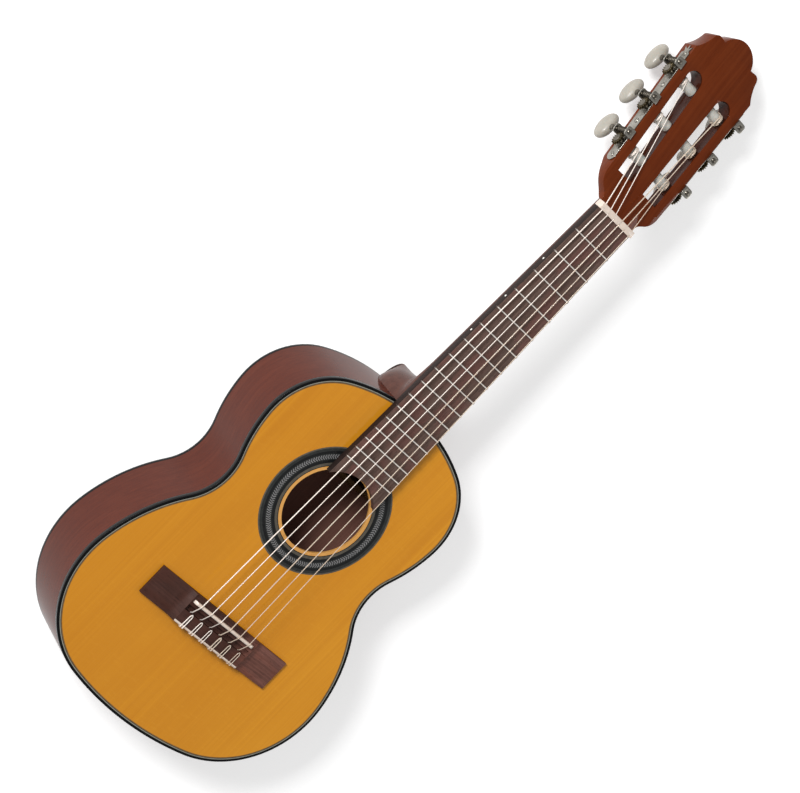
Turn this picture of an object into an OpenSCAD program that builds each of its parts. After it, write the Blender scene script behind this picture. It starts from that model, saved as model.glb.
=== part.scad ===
// Quarter-size classical guitar with a slotted, tilted head and worm-geared tuners.
// It lies on its flat back: Z rises out of the soundboard, Y runs from tail to head
// and X points to the treble side. Every glued, fretted, strung or turning piece is a node.
//
// Pieces are drawn in one of three local frames:
//   at_saddle()  origin on the soundboard face, on the centre line, under the saddle crest
//   at_head()    origin on the head's front face where it meets the nut, Y along the head
//   at_cheek(m)  origin on a side of the head, X outward, Y along the side, Z out of the face;
//                m = 0 is the treble side and m = 1 the bass side

/* [Node] */
// Which node to draw

/* [Scale and strings] */
// String length from the saddle crest to the front of the nut
scale_len = 480; // [430:1:660]
// Distance between the outer strings at the saddle
saddle_spread = 61; // [50:0.5:64]
// Distance between the outer strings at the nut
nut_spread = 37.3; // [34:0.1:46]
// Height of the string centres above the soundboard at the saddle
string_z_saddle = 13.7; // [9:0.1:16]
// Height of the string centres above the soundboard at the nut
string_z_nut = 10.4; // [7:0.1:12]
// String radii, first (thinnest nylon) to sixth (thickest wound)
string_r = [0.36, 0.41, 0.51, 0.38, 0.44, 0.55]; // [0.3:0.01:0.7]

/* [Body] */
// Depth of the body, back face to soundboard face
body_depth = 76; // [60:1:110]
// Distance from the saddle crest back to the tail
tail_dist = 122.5; // [100:0.5:170]
// Tail arc: radius and sweep in degrees
tail_arc = [316, 12.6]; // [20:0.1:400]
// Lower bout arc: radius and sweep in degrees
bout_arc = [94, 87]; // [20:0.1:400]
// Flank arc between lower bout and waist: radius and sweep in degrees
flank_arc = [157, 30]; // [20:0.1:400]
// Waist arc, hollow: radius and sweep in degrees
waist_arc = [51, 63.6]; // [20:0.1:400]
// Upper flank arc: radius and sweep in degrees
chest_arc = [133, 20]; // [20:0.1:400]
// Upper bout arc: radius and sweep in degrees
upper_arc = [66, 70.2]; // [20:0.1:400]
// Thickness of the soundboard and of the back
plate_t = 2.5; // [1.5:0.1:4]
// Thickness of the sides
side_t = 3; // [2:0.1:4]
// Width of the edge binding
binding_w = 2; // [1:0.1:4]
// Height of the binding at the top and at the back
binding_h = [5, 4]; // [2:0.5:8]
// Width of the purfling inside the top binding
purfling_w = 2.7; // [1:0.1:4]
// Depth of the purfling and rosette channels
inlay_t = 1.2; // [0.5:0.1:2]

/* [Soundhole and rosette] */
// Distance from the saddle crest to the middle of the soundhole
hole_y = 130.4; // [100:0.1:180]
// Soundhole radius
hole_r = 40; // [30:0.5:45]
// Inner and outer radius of the rosette inlay
rosette_r = [43, 61.2]; // [40:0.1:70]

/* [Inside the body] */
// Width and height of the glued linings
lining = [5, 12]; // [3:0.5:15]
// Width and length of the neck block
neck_block_size = [60, 38]; // [40:1:80]
// Width and length of the tail block
tail_block_size = [46, 12]; // [30:1:70]
// Distance from the saddle of the two bars across the soundboard
top_bar_y = [74, 187]; // [50:1:200]
// Width and height of a bar
bar = [8, 13]; // [5:0.5:18]
// Number of fan braces under the soundboard
fan_count = 5; // [3:2:7]
// Distance from the saddle of the bars across the back
back_bar_y = [-62, 48, 158]; // [-90:1:200]

/* [Bridge] */
// Bridge length, side to side
bridge_len = 158; // [140:1:190]
// Bridge reach in front of the saddle crest and behind it
bridge_reach = [6.2, 24.5]; // [5:0.1:28]
// Length of the raised middle, which is also the tie block's length
bridge_mid = 79; // [70:1:90]
// Heights of the wing tips, the wing roots, the saddle mount and the tie block
bridge_z = [3, 4.4, 9, 9.6]; // [2:0.1:12]
// Distance from the saddle crest back to the front of the tie block
tie_front = 10.6; // [9:0.1:13]
// Saddle thickness, half length and height above the soundboard
saddle_size = [2.8, 37.5, 13]; // [2:0.1:40]
// Height of the string holes through the tie block
tie_hole_z = 5.6; // [3:0.1:7]

/* [Fingerboard] */
// Fingerboard thickness
board_t = 7.8; // [5:0.1:8]
// Half width of the fingerboard at the nut and at the twelfth fret
board_w = [21.6, 27.6]; // [20:0.1:32]
// Number of frets
fret_count = 17; // [12:1:20]
// Fret crown radius
fret_r = 1; // [0.7:0.05:1.3]
// Fret tang width and depth
fret_tang = [0.6, 2]; // [0.4:0.1:3]
// Nut thickness and height above the soundboard plane
nut_size = [6, 10.6]; // [4:0.1:12]

/* [Neck and heel] */
// Neck thickness under the fingerboard at the nut and near the heel
neck_t = [12.5, 13.5]; // [12:0.1:20]
// Distance from the saddle where the heel starts to sweep down
heel_start = 305; // [280:1:330]
// Distance from the saddle to the nose of the heel
heel_nose = 265.8; // [255:1:290]
// Half width of the heel at its foot
heel_foot = 10; // [8:0.5:20]
// Heel cap thickness
cap_t = 2.5; // [1.5:0.1:4]

/* [Head] */
// Backward tilt of the head in degrees
head_tilt = 12.5; // [8:0.5:18]
// Height of the head face above the soundboard plane at the nut
head_z = 3.5; // [0:0.1:6]
// Head thickness
head_t = 17; // [14:0.5:22]
// Length from the nut to the top of the crest
head_len = 189.5; // [150:1:220]
// Half width of the head at the middle tuner
head_half = 38.2; // [32:0.1:42]
// Outward flare of each side in degrees
flare = 2; // [0:0.1:4]
// Slot width
slot_w = 18.5; // [14:0.1:20]
// Distance from the head's side to the slot
cheek_w = 9.6; // [7:0.1:12]

/* [Tuners] */
// Distance from the nut to the middle tuner post
post_mid = 87.5; // [70:0.5:100]
// Distance between tuner posts
post_pitch = 37.5; // [35:0.1:39]
// Depth of the post axes below the head face
post_z = -7; // [-10:0.1:-5]
// Radius of the string roller and of the metal post
post_r = [5, 2.5]; // [2:0.1:6]
// Number of gear teeth
gear_teeth = 15; // [12:1:18]
// Pitch radius of the gear
gear_r = 5.4; // [5:0.1:7]
// Mean radius and eccentricity of the worm thread
worm = [2.55, 0.7]; // [0.5:0.05:4]
// Distance from the head's side to the worm axis and the gear's middle plane
worm_x = 5.2; // [4:0.1:7]
// Gear thickness
gear_t = 2.4; // [2:0.1:4]
// Radius of the worm shaft
shaft_r = 1.5; // [1:0.1:2]
// Half sizes of a button: half length, half thickness, half height along its shaft
button = [13.4, 7, 9.2]; // [3:0.1:14]
// Depth of the button centres below the head face
button_z = -33.5; // [-40:0.5:-28]
// Rest turn of each button in degrees, first string to sixth
button_turn = [12, -25, 8, 6, 8, 8]; // [-90:1:90]
// Number of string turns on each post
turns = 4; // [2:1:6]
// Radial clearance of every turning fit
fit = 0.06; // [0.02:0.01:0.1]

/* [Hidden] */
$fn = 48;

// Colours
spruce = [0.80, 0.52, 0.18];
mahogany = [0.36, 0.16, 0.11];
rosewood = [0.25, 0.16, 0.13];
pale_wood = [0.85, 0.70, 0.48];
black_trim = [0.05, 0.05, 0.05];
grey_green = [0.36, 0.40, 0.36];
bone = [0.90, 0.86, 0.76];
nickel = [0.62, 0.61, 0.58];
brass = [0.62, 0.50, 0.26];
nylon = [0.92, 0.91, 0.86];
silver_wound = [0.72, 0.70, 0.66];
pearl = [0.88, 0.87, 0.83];

// Head and neck layout along Y
nut_back = scale_len + nut_size.x;
y_mid = (nut_back + head_len * cos(head_tilt) - tail_dist) / 2;
worm_gap = gear_r + worm.x + 0.45;
worm_pitch = 2 * PI * gear_r / gear_teeth;
wall_depth = body_depth - plate_t;
foot_z = -(body_depth - cap_t);

// ---- Body outline: tangent arcs from the tail to the neck, kept as signed radius and sweep

half_arcs = [
  tail_arc, bout_arc, flank_arc, [-waist_arc.x, -waist_arc.y], chest_arc, upper_arc
];

function left_of(h) = [-sin(h), cos(h)];

function heading(k) = k == 0 ? 0 : heading(k - 1) + half_arcs[k - 1].y;

function arc_centre(k) =
  k == 0
  ? [0, half_arcs[0].x - tail_dist]
  : arc_centre(k - 1) + (half_arcs[k].x - half_arcs[k - 1].x) * left_of(heading(k));

// The arc at the neck closes the outline on the centre line
last_k = len(half_arcs) - 1;
last_heading = heading(last_k) + half_arcs[last_k].y;
neck_arc_r = half_arcs[last_k].x + arc_centre(last_k).x / sin(last_heading);
neck_arc_c = arc_centre(last_k) + (neck_arc_r - half_arcs[last_k].x) * left_of(last_heading);
joint_y = neck_arc_c.y + neck_arc_r;

function arc_points(c, r, h, sweep, d, n) =
  [for (j = [0 : n]) c - (r - d) * left_of(h + sweep * j / n)];

function half_outline(d) = concat(
  [for (k = [0 : last_k])
    each arc_points(
      arc_centre(k), half_arcs[k].x, heading(k), half_arcs[k].y, d,
      ceil(abs(half_arcs[k].x * half_arcs[k].y) / 300)
    )],
  arc_points(neck_arc_c, neck_arc_r, last_heading, 180 - last_heading, d, 16)
);

// The whole outline, moved inward by d; repeated points at the joins are dropped
function outline(d) =
  let (h = half_outline(d))
  let (p = [for (i = [0 : len(h) - 2]) if (norm(h[i + 1] - h[i]) > 0.01) h[i]])
  concat(p, [h[len(h) - 1]], [for (i = [len(p) - 1 : -1 : 1]) [-p[i].x, p[i].y]]);

// Circle arc in the plane, from angle a0 to a1
function sweep_arc(c, r, a0, a1, n) =
  [for (i = [0 : n]) c + r * [cos(a0 + (a1 - a0) * i / n), sin(a0 + (a1 - a0) * i / n)]];

// Half width of the fingerboard and neck at a distance y from the saddle
function board_half(y) = board_w.x + (board_w.y - board_w.x) * (scale_len - y) / (scale_len / 2);

function fret_y(n) = scale_len * pow(2, -n / 12);

function string_x(i, spread) = spread * (0.5 - (i - 1) / 5);

// ---- Frames

module at_saddle() {
  translate([0, -y_mid, body_depth])
    children();
}

module in_head() {
  translate([0, nut_back, head_z])
    rotate([-head_tilt, 0, 0])
      children();
}

module at_head() {
  at_saddle()
    in_head()
      children();
}

module cheek_in_head(m) {
  mirror([m, 0, 0])
    translate([head_half, post_mid, 0])
      rotate([0, 0, -flare])
        children();
}

module at_cheek(m) {
  at_head()
    cheek_in_head(m)
      children();
}

// Strings 6, 5, 4 go to the bass side and 1, 2, 3 to the treble side, outer ones nearest the nut
function string_side(i) = i > 3 ? 1 : 0;
function post_y(i) = (i > 3 ? 5 - i : i - 2) * post_pitch;

function saddle_to_head(p) = [
  p.x,
  (p.y - nut_back) * cos(head_tilt) - (p.z - head_z) * sin(head_tilt),
  (p.y - nut_back) * sin(head_tilt) + (p.z - head_z) * cos(head_tilt)
];

function head_to_saddle(p) = [
  p.x,
  nut_back + p.y * cos(head_tilt) + p.z * sin(head_tilt),
  head_z - p.y * sin(head_tilt) + p.z * cos(head_tilt)
];

function head_to_cheek(m, p) =
  let (dx = (m == 1 ? -p.x : p.x) - head_half)
  let (dy = p.y - post_mid)
  [dx * cos(flare) - dy * sin(flare), dx * sin(flare) + dy * cos(flare), p.z];

function cheek_to_head(m, p) =
  let (dx = head_half + p.x * cos(flare) + p.y * sin(flare))
  [m == 1 ? -dx : dx, post_mid - p.x * sin(flare) + p.y * cos(flare), p.z];

// ---- Helpers

// A slab of the body outline moved inward by d, from z0 to z1
module body_slab(d, z0, z1) {
  translate([0, 0, z0])
    linear_extrude(z1 - z0)
      polygon(outline(d));
}

// A band following the outline between two inward offsets
module body_band(d0, d1, z0, z1) {
  difference() {
    body_slab(d0, z0, z1);
    body_slab(d1, z0 - 1, z1 + 1);
  }
}

// A straight round rod from a to b
module rod(a, b, r) {
  v = b - a;
  translate(a)
    rotate([0, acos(v.z / norm(v)), atan2(v.y, v.x)])
      cylinder(h = norm(v), r = r, $fn = 24);
}

// Rods through a list of points, rounded at each bend; every other rod is a hair thinner
module cord(points, r) {
  for (i = [0 : len(points) - 2]) {
    rod(points[i], points[i + 1], r - (i % 2) * 0.01);
  }
  for (p = points) {
    translate(p)
      sphere(r = r + 0.05, $fn = 24);
  }
}

// A bar of given width and height, flush with z = 0 and hanging down, its ends cut on a slope
module brace(length, w, h) {
  rotate([90, 0, 90])
    translate([0, 0, -length / 2])
      linear_extrude(length)
        polygon([[-w / 2, 0], [w / 2, 0], [w / 2, -h * 0.6], [w / 5, -h], [-w / 5, -h], [-w / 2, -h * 0.6]]);
}

// ---- Body

module soundboard() color(spruce) at_saddle() difference() {
  body_slab(binding_w, -plate_t, 0);
  body_band(binding_w - 1, binding_w + purfling_w, -inlay_t, 1);
  translate([0, hole_y, -plate_t - 1])
    cylinder(h = plate_t + 2, r = hole_r, $fn = 96);
  rosette_ring(1);
}

module rosette_ring(above) {
  translate([0, hole_y, -inlay_t])
    difference() {
      cylinder(h = inlay_t + above, r = rosette_r.y, $fn = 96);
      translate([0, 0, -1])
        cylinder(h = inlay_t + above + 2, r = rosette_r.x, $fn = 96);
    }
}

module rosette() color(grey_green) at_saddle() rosette_ring(0);

module purfling() color(grey_green) at_saddle()
  body_band(binding_w, binding_w + purfling_w, -inlay_t, 0);

module binding_top() color(black_trim) at_saddle()
  body_band(0, binding_w, -binding_h.x, 0);

module binding_back() color(black_trim) at_saddle()
  body_band(0, binding_w, -body_depth, -body_depth + binding_h.y);

module back() color(mahogany) at_saddle()
  body_slab(binding_w, -body_depth, -wall_depth);

// Both sides as one band, rebated for the bindings and cut on the centre line
module side_half(m) {
  mirror([m, 0, 0])
    difference() {
      body_band(0, side_t, -wall_depth, -plate_t);
      body_band(-1, binding_w, -binding_h.x, 0);
      body_band(-1, binding_w, -body_depth, -body_depth + binding_h.y);
      translate([-200, -tail_dist - 10, -body_depth])
        cube([200, joint_y + tail_dist + 20, body_depth]);
    }
}

module side_treble() color(mahogany) at_saddle() side_half(0);

module side_bass() color(mahogany) at_saddle() side_half(1);

module neck_block_box(grow) {
  translate([-neck_block_size.x / 2 - grow, joint_y - side_t - neck_block_size.y - grow, -wall_depth - grow])
    cube([neck_block_size.x + 2 * grow, neck_block_size.y + 20, wall_depth - plate_t + 2 * grow]);
}

module tail_block_box(grow) {
  translate([-tail_block_size.x / 2 - grow, -tail_dist - 5, -wall_depth - grow])
    cube([
      tail_block_size.x + 2 * grow,
      tail_block_size.y + side_t + 5 + grow,
      wall_depth - plate_t + 2 * grow
    ]);
}

module neck_block() color(pale_wood) at_saddle() intersection() {
  neck_block_box(0);
  body_slab(side_t, -wall_depth, -plate_t);
}

module tail_block() color(pale_wood) at_saddle() intersection() {
  tail_block_box(0);
  body_slab(side_t, -wall_depth, -plate_t);
}

module linings() color(pale_wood) at_saddle() difference() {
  union() {
    body_band(side_t, side_t + lining.x, -plate_t - lining.y, -plate_t);
    body_band(side_t, side_t + lining.x, -wall_depth, -wall_depth + lining.y);
  }
  neck_block_box(0.01);
  tail_block_box(0.01);
}

module top_braces() color(pale_wood) at_saddle() intersection() {
  translate([0, 0, -plate_t])
    union() {
      for (y = top_bar_y) {
        translate([0, y, 0])
          brace(260, bar.x, bar.y);
      }
      for (i = [0 : fan_count - 1]) {
        translate([(i - (fan_count - 1) / 2) * 26, -14, 0])
          rotate([0, 0, 90 - (i - (fan_count - 1) / 2) * -7])
            brace(158 - 12 * abs(i - (fan_count - 1) / 2), 5, 5);
      }
    }
  body_slab(side_t + lining.x + 1, -body_depth, 0);
}

module back_braces() color(pale_wood) at_saddle() intersection() {
  for (y = back_bar_y) {
    translate([0, y, -wall_depth])
      rotate([0, 180, 0])
        brace(280, bar.x, bar.y - 1);
  }
  body_slab(side_t + lining.x + 1, -body_depth, 0);
}

// ---- Bridge

// Front view of the bridge: sloping wings, a smooth step up and the raised middle
step_x = bridge_mid / 2 + 9;

function bridge_edge(x) =
  x <= bridge_mid / 2
  ? bridge_z[3]
  : x >= step_x
  ? bridge_z[1] - (bridge_z[1] - bridge_z[0]) * (x - step_x) / (bridge_len / 2 - step_x)
  : bridge_z[1] + (bridge_z[3] - bridge_z[1]) * (1 - sin((x - bridge_mid / 2) * 10));

module bridge() color(rosewood) at_saddle() difference() {
  translate([0, bridge_reach.x, 0])
    rotate([90, 0, 0])
      linear_extrude(bridge_reach.x + bridge_reach.y)
        polygon(concat(
          [[-bridge_len / 2, 0], [bridge_len / 2, 0], [bridge_len / 2, bridge_edge(bridge_len / 2)]],
          [for (x = [9 : -1 : 0]) [bridge_mid / 2 + x, bridge_edge(bridge_mid / 2 + x)]],
          [for (x = [0 : 9]) [-bridge_mid / 2 - x, bridge_edge(bridge_mid / 2 + x)]],
          [[-bridge_len / 2, bridge_edge(bridge_len / 2)]]
        ));
  // Trough in front of the tie block, then the lower saddle mount and its slope down to the front
  translate([-bridge_mid / 2, 0, 0])
    rotate([90, 0, 90])
      linear_extrude(bridge_mid)
        polygon([
          [-tie_front, 4.6], [-5, 4.6], [-5, bridge_z[2]], [3.4, bridge_z[2]],
          [bridge_reach.x + 1, bridge_z[2] - (bridge_reach.x - 2.4) * tan(40)],
          [bridge_reach.x + 1, 20], [-tie_front, 20]
        ]);
  // Rebate for the pale strip on the tie block's rear edge
  translate([-bridge_mid / 2, -bridge_reach.y - 1, bridge_z[3] - 2.2])
    cube([bridge_mid, 3.2, 5]);
  // Saddle slot
  translate([-saddle_size.y - 0.1, -saddle_size.x / 2, 4.4])
    cube([2 * saddle_size.y + 0.2, saddle_size.x, 10]);
  // String holes
  for (i = [1 : 6]) {
    translate([string_x(i, saddle_spread), 0, tie_hole_z])
      rotate([90, 0, 0])
        cylinder(h = 30, r = 0.9, $fn = 24);
  }
}

module saddle() color(bone) at_saddle() difference() {
  union() {
    translate([-saddle_size.y, -saddle_size.x / 2, 4.4])
      cube([2 * saddle_size.y, saddle_size.x, saddle_size.z - 4.4 - saddle_size.x / 2]);
    translate([-saddle_size.y, 0, saddle_size.z - saddle_size.x / 2])
      rotate([0, 90, 0])
        cylinder(h = 2 * saddle_size.y, r = saddle_size.x / 2);
  }
  for (side = [-1, 1]) {
    translate([side * saddle_size.y, -3, saddle_size.z])
      rotate([0, 45, 0])
        translate([-2.2, 0, -2.2])
          cube([4.4, 6, 4.4]);
  }
}

module tie_strip() color(bone) at_saddle() difference() {
  translate([-bridge_mid / 2, -bridge_reach.y, bridge_z[3] - 2.2])
    cube([bridge_mid, 2.2, 2.6]);
  translate([-bridge_mid, -bridge_reach.y, bridge_z[3] + 0.4])
    rotate([45, 0, 0])
      translate([0, -0.7, -0.7])
        cube([2 * bridge_mid, 1.4, 1.4]);
}

// ---- Neck

ring_n = 22;

// Each section is half an ellipse: [inner y, inner z, outer y, outer z, half width]
shaft_sections = [
  for (i = [0 : 5])
    let (y = nut_back + (heel_start - nut_back) * i / 5)
    [y, 0, y, -(neck_t.x + (neck_t.y - neck_t.x) * i / 5), min(board_half(y), board_half(scale_len) + 8)]
];

heel_sections = [
  for (i = [1 : 16])
    let (q = i / 16)
    let (down = q < 0.5 ? 0 : pow(2 * q - 1, 1.2))
    let (y_in = q < 0.5 ? heel_start + (joint_y - 6 - heel_start) * 2 * q : joint_y - 6)
    [
      y_in,
      down * foot_z,
      heel_start - (heel_start - heel_nose) * pow(sin(90 * q), 0.62),
      foot_z + (-neck_t.y - foot_z) * pow(cos(90 * q), 0.62),
      board_half(y_in) + (heel_foot - board_half(joint_y - 6)) * pow(down, 5)
    ]
];

function section_ring(s) = [
  for (i = [0 : ring_n])
    let (a = 180 * i / ring_n)
    [s[4] * cos(a), s[0] + (s[2] - s[0]) * sin(a), s[1] + (s[3] - s[1]) * sin(a)]
];

module neck_shape() {
  sections = concat(shaft_sections, heel_sections);
  m = ring_n + 1;
  last = len(sections) - 1;
  polyhedron(
    points = [for (s = sections) each section_ring(s)],
    faces = concat(
      [[for (i = [m - 1 : -1 : 0]) i]],
      [[for (i = [0 : m - 1]) last * m + i]],
      [for (k = [0 : last - 1]) for (i = [0 : m - 1]) [k * m + i, k * m + (i + 1) % m, (k + 1) * m + i]],
      [for (k = [0 : last - 1]) for (i = [0 : m - 1])
        [k * m + (i + 1) % m, (k + 1) * m + (i + 1) % m, (k + 1) * m + i]]
    )
  );
}

module neck() color(mahogany) at_saddle() difference() {
  neck_shape();
  body_slab(0, -body_depth - 1, 1);
}

module heel_cap() color(rosewood) at_saddle() difference() {
  translate([0, 0, -body_depth])
    linear_extrude(cap_t)
      polygon([for (p = section_ring(heel_sections[len(heel_sections) - 1])) [p.x, p.y]]);
  body_slab(0, -body_depth - 1, 1);
}

// ---- Head

head_half_outline = concat(
  [[board_w.x + 0.5, -12], [board_w.x + 0.5, 0.5]],
  sweep_arc([board_w.x + 9.5, 0.5], 9, 180, 130, 8),
  sweep_arc([18.9, 23.6], 17, -50, -flare, 8),
  sweep_arc([70.3, 181.2], 40, 221.9, 194, 8),
  sweep_arc([26, 171.1], 5.5, 0, 90, 10),
  sweep_arc([0, head_len - 20.7], 20.7, 19.6, 90, 16)
);
head_last = len(head_half_outline) - 1;

// The head's back edges are rounded to run out of the neck's section
module head_blend() {
  hull() {
    translate([0, nut_back + 0.1, 0])
      rotate([90, 0, 0])
        linear_extrude(0.1)
          polygon(concat(
            [[-board_w.x - 1, head_z + 1], [board_w.x + 1, head_z + 1]],
            [for (i = [0 : 16]) [(board_w.x + 0.4) * cos(180 * i / 16), -neck_t.x * sin(180 * i / 16)]]
          ));
    in_head()
      translate([-62, 34, -3])
        cube([124, head_len, 4]);
    in_head()
      translate([-42, 40, -head_t - 0.5])
        cube([84, head_len, head_t]);
  }
}

module head_slot() {
  translate([0, 0, -head_t - 5])
    linear_extrude(head_t + 10)
      polygon(concat(
        [[-cheek_w - slot_w, 28.5 - post_mid], [-cheek_w, 28.5 - post_mid]],
        sweep_arc([-cheek_w - slot_w / 2, 43], slot_w / 2, 0, 180, 20)
      ));
}

module headstock() color(mahogany) difference() {
  at_saddle() intersection() {
    in_head()
      translate([0, 0, -head_t])
        linear_extrude(head_t)
          polygon(concat(
            head_half_outline,
            [for (i = [head_last - 1 : -1 : 0]) [-head_half_outline[i].x, head_half_outline[i].y]]
          ));
    head_blend();
  }
  for (m = [0, 1]) {
    at_cheek(m) {
      head_slot();
      for (k = [-1 : 1]) {
        translate([-cheek_w - slot_w - 7.6, k * post_pitch, post_z])
          rotate([0, 90, 0])
            cylinder(h = 60, r = post_r.x + fit);
      }
      for (y = screw_y) {
        translate([-8, y, post_z + 0.5])
          rotate([0, 90, 0])
            cylinder(h = 10, r = 1, $fn = 24);
      }
    }
  }
}

// ---- Fingerboard, frets and nut

module fingerboard() color(rosewood) at_saddle() difference() {
  linear_extrude(board_t)
    polygon([
      [-board_half(140), 140], [board_half(140), 140],
      [board_half(scale_len), scale_len], [-board_half(scale_len), scale_len]
    ]);
  translate([0, hole_y, -1])
    cylinder(h = board_t + 2, r = hole_r + 1, $fn = 96);
  for (n = [1 : fret_count]) {
    translate([-60, fret_y(n) - fret_tang.x / 2, board_t - fret_tang.y])
      cube([120, fret_tang.x, fret_tang.y + 1]);
  }
}

module frets() color(nickel) at_saddle() {
  for (n = [1 : fret_count]) {
    w = board_half(fret_y(n));
    translate([0, fret_y(n), board_t]) {
      difference() {
        translate([-w, 0, 0])
          rotate([0, 90, 0])
            cylinder(h = 2 * w, r = fret_r, $fn = 24);
        translate([-w - 1, -2, -4])
          cube([2 * w + 2, 4, 4]);
      }
      translate([-w, -fret_tang.x / 2, -fret_tang.y])
        cube([2 * w, fret_tang.x, fret_tang.y]);
    }
  }
}

module nut() color(bone) at_saddle() difference() {
  translate([-board_w.x - 0.2, scale_len, 0])
    cube([2 * board_w.x + 0.4, nut_size.x, nut_size.y]);
  // The top falls away toward the head
  translate([-50, scale_len + 2, nut_size.y])
    rotate([-14, 0, 0])
      cube([100, 12, 5]);
  for (i = [1 : 6]) {
    run = string_run(i);
    back_dir = (run[2] - run[1]) / norm(run[2] - run[1]);
    rod(run[1] + [0, -3, 0.15], run[1] + [0, 0.5, 0], string_r[i - 1] + 0.08);
    rod(run[1] - 0.4 * back_dir, run[1] + 12 * back_dir, string_r[i - 1] + 0.12);
  }
}

// ---- Strings

// Where string i meets the top of its post, as a tangent from the nut, in the cheek's frame
function post_touch(i) =
  let (r = string_r[i - 1])
  let (m = string_side(i))
  let (p = head_to_cheek(m, saddle_to_head(nut_point(i))))
  let (reach = post_r.x + r + fit)
  let (dy = p.y - post_y(i))
  let (dz = p.z - post_z)
  let (a = atan2(dz, dy) - acos(reach / norm([dy, dz])))
  [winding_x(i, turns) - 0.03, post_y(i) + reach * cos(a), post_z + reach * sin(a)];

function winding_x(i, k) = -cheek_w - 2 - (2 * string_r[i - 1] + 0.04) * k;

function nut_point(i) = [string_x(i, nut_spread), scale_len + 0.8, string_z_nut];

// Main run of a string: saddle crest, nut and post
function string_run(i) = [
  [string_x(i, saddle_spread), 0, string_z_saddle],
  nut_point(i),
  head_to_saddle(cheek_to_head(string_side(i), post_touch(i)))
];

// Through the tie block, up its rear, forward over the top, round the string and back again
function string_tie(i) =
  let (x = string_x(i, saddle_spread))
  let (r = string_r[i - 1])
  let (rear = -bridge_reach.y - r - 0.08)
  let (top = bridge_z[3] + 0.4 + r + 0.08)
  [
    [x, -tie_front + 1.4, bridge_z[3] - 1.6],
    [x, -tie_front + 0.2, tie_hole_z],
    [x, rear, tie_hole_z],
    [x - 0.4, rear, top],
    [x + 0.9, -tie_front + 1, top],
    [x + 2.2, rear, top],
    [x + 2.2, rear, bridge_z[3] - 2.6]
  ];

module guitar_string(i) {
  run = string_run(i);
  color(i > 3 ? silver_wound : nylon)
    at_saddle()
      cord(concat([run[2], run[1], run[0]], string_tie(i)), string_r[i - 1]);
}

module string_1() guitar_string(1);
module string_2() guitar_string(2);
module string_3() guitar_string(3);
module string_4() guitar_string(4);
module string_5() guitar_string(5);
module string_6() guitar_string(6);

// Turns of string lying on the roller
module winding(i) {
  color(i > 3 ? silver_wound : nylon)
    at_cheek(string_side(i))
      for (k = [0 : turns - 1]) {
        translate([winding_x(i, k), post_y(i), post_z])
          rotate([0, 90, 0])
            rotate_extrude()
              translate([post_r.x + string_r[i - 1] + 0.02, 0])
                circle(r = string_r[i - 1], $fn = 24);
      }
}

module winding_1() winding(1);
module winding_2() winding(2);
module winding_3() winding(3);
module winding_4() winding(4);
module winding_5() winding(5);
module winding_6() winding(6);

// ---- Tuners

screw_y = [-51, -15, 23.5, 57];

// Outline of a tuner plate, along the head and through its thickness
plate_outline = concat(
  sweep_arc([-51, post_z + 0.5], 5.5, 90, 270, 16),
  [
    [57.5, post_z - 5], [59.5, post_z - 2.4], [64, post_z - 4.4], [61.6, post_z - 0.8],
    [66, post_z + 0.5], [61.6, post_z + 1.8], [64, post_z + 5.4], [59.5, post_z + 3.4],
    [57.5, post_z + 6]
  ]
);

// A bent ear with rounded outer corners, carrying one end of a worm shaft
module ear() {
  linear_extrude(1.2)
    polygon(concat(
      [[0, 4.4], [0, -4.4]],
      sweep_arc([worm_x + 1.6, -1.9], 2.5, -90, 0, 6),
      sweep_arc([worm_x + 1.6, 1.9], 2.5, 0, 90, 6)
    ));
}

module tuner_plate(m) {
  at_cheek(m)
    difference() {
      union() {
        rotate([90, 0, 90])
          linear_extrude(1.2)
            polygon(plate_outline);
        for (k = [-1 : 1]) {
          translate([0, k * post_pitch + worm_gap, 0]) {
            translate([0, -4.4, post_z - 9.2])
              cube([1.2, 8.8, 18.4]);
            translate([0, 0, post_z - 9.2])
              ear();
            translate([0, 0, post_z + 8])
              ear();
          }
        }
      }
      for (k = [-1 : 1]) {
        translate([-5, k * post_pitch, post_z])
          rotate([0, 90, 0])
            cylinder(h = 10, r = post_r.y + fit);
        translate([worm_x, k * post_pitch + worm_gap, post_z - 15])
          cylinder(h = 30, r = shaft_r + fit);
      }
      for (y = screw_y) {
        translate([-5, y, post_z + 0.5])
          rotate([0, 90, 0])
            cylinder(h = 10, r = 1.2, $fn = 24);
      }
    }
}

module tuner_plates() color(nickel) {
  tuner_plate(0);
  tuner_plate(1);
}

// Domed, slotted screws through the plates into the head
module tuner_screws() color(nickel) {
  for (m = [0, 1]) {
    at_cheek(m)
      for (k = [0 : 3]) {
        translate([0, screw_y[k], post_z + 0.5])
          rotate([0, 90, 0])
            rotate([0, 0, 35 + 70 * k])
              difference() {
                union() {
                  translate([0, 0, -7])
                    cylinder(h = 8.2, r = 1, $fn = 24);
                  translate([0, 0, 1.2])
                    intersection() {
                      cylinder(h = 3, r = 2.3);
                      translate([0, 0, -2.2])
                        sphere(r = 3.3);
                    }
                }
                translate([-3, -0.3, 1.8])
                  cube([6, 0.6, 3]);
              }
      }
  }
}

// Roller with its metal post, from the socket in the middle of the head out to the gear
module roller(i) {
  color(pearl)
    at_cheek(string_side(i))
      translate([0, post_y(i), post_z])
        rotate([0, 90, 0]) {
          translate([0, 0, -cheek_w - slot_w - 7.2])
            cylinder(h = cheek_w + slot_w + 6.9, r = post_r.x);
          translate([0, 0, -0.6])
            cylinder(h = worm_x + 2.2, r = post_r.y);
          translate([0, 0, worm_x + gear_t / 2])
            cylinder(h = 0.8, r1 = post_r.y + 0.9, r2 = post_r.y);
        }
}

module roller_1() roller(1);
module roller_2() roller(2);
module roller_3() roller(3);
module roller_4() roller(4);
module roller_5() roller(5);
module roller_6() roller(6);

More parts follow.
